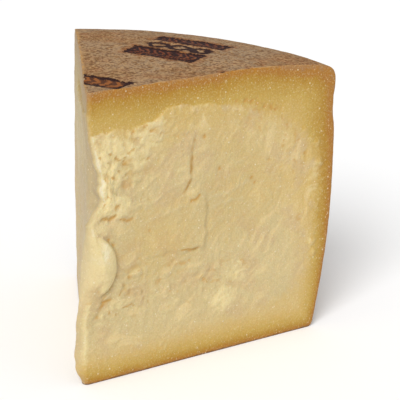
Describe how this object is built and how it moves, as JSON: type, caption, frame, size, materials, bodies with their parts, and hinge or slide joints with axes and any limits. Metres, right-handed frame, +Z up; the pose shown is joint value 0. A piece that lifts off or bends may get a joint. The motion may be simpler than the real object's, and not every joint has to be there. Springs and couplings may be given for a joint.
{
  "type": "cheese wedge",
  "caption": "Tall wedge split from a wheel of hard, grainy cheese: dry brown rind on top, heel and underside, broken pale paste on the cut faces.",
  "frame": {"origin": "middle of the wedge's box in plan, on the surface it stands on", "axes": "+Z up along the wheel's axis; the pointed nose faces -Y and the curved heel faces +Y; the wedge opens evenly on both sides of the YZ plane"},
  "size_m": [0.2168, 0.2052, 0.21],
  "materials": {
    "cheese": "natural: waxy pale paste with white crystals, dry matt rind"
  },
  "bodies": {
    "root": {"cheese_wedge": "cheese"}
  },
  "joints": []
}
